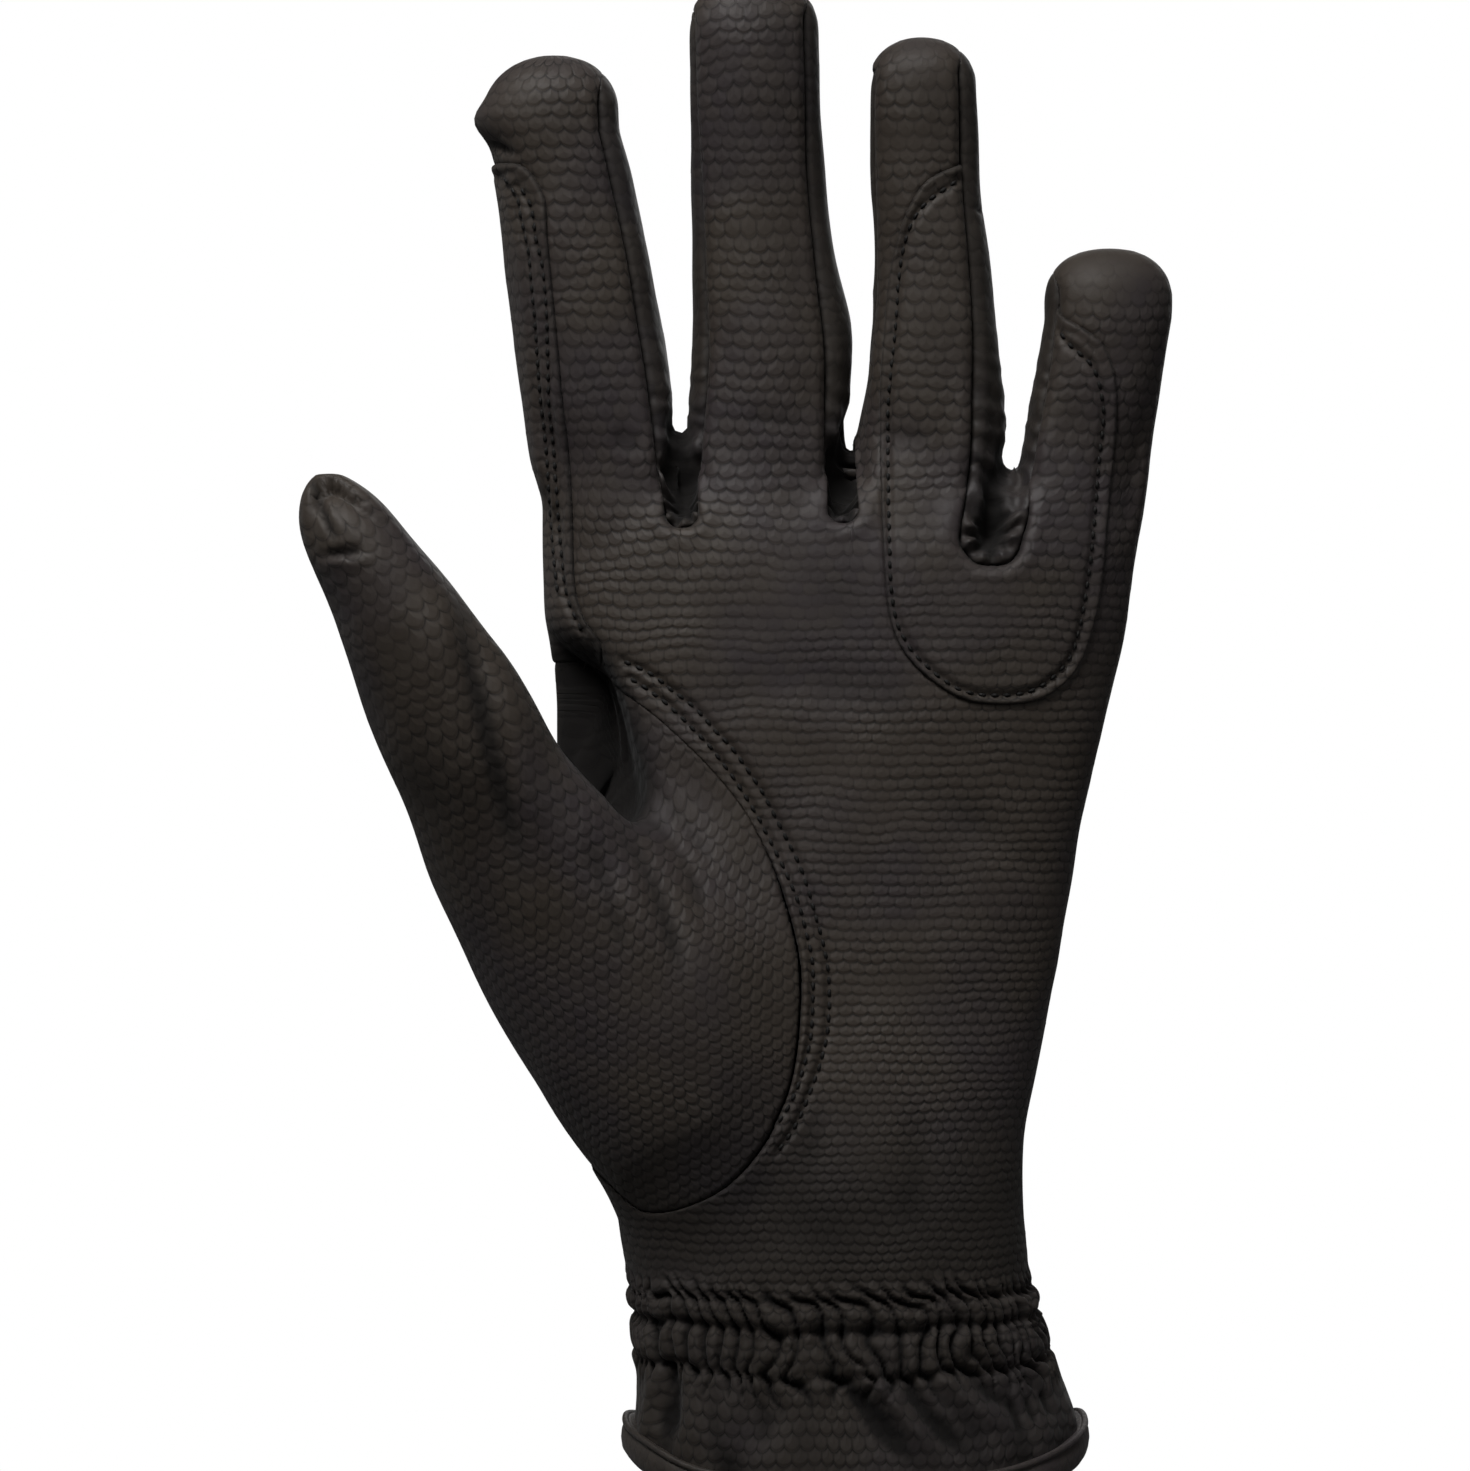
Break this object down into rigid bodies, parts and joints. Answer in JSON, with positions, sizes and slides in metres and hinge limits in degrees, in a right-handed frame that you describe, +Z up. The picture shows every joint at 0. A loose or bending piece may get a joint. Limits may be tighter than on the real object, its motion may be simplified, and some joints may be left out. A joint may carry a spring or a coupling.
{
  "type": "horse riding glove",
  "caption": "Left-hand riding glove in scale-embossed leather, filled as if worn, with gathered wrist, bound hem, side strips between the fingers and rein patches",
  "frame": {"origin": "middle of the cuff's mouth, level with the lowest point of the hem", "axes": "+Z up along the fingers, -Y the way the palm faces, -X towards the thumb"},
  "size_m": [0.1279, 0.0589, 0.2264],
  "materials": {
    "embossed_leather": "soft black leather embossed with rows of small scales, satin",
    "strip_leather": "thin smooth black leather, matt, wrinkled at the crotches",
    "patch_leather": "black scale-embossed leather laid over the panel, satin",
    "binding_leather": "folded strip of black leather, satin"
  },
  "bodies": {
    "root": {"palm_panel": "embossed_leather", "back_panel": "embossed_leather", "thumb_panel": "embossed_leather", "fourchette_index_middle": "strip_leather", "fourchette_middle_ring": "strip_leather", "fourchette_ring_little": "strip_leather", "index_patch": "patch_leather", "ring_little_patch": "patch_leather", "hem_binding": "binding_leather"}
  },
  "joints": []
}
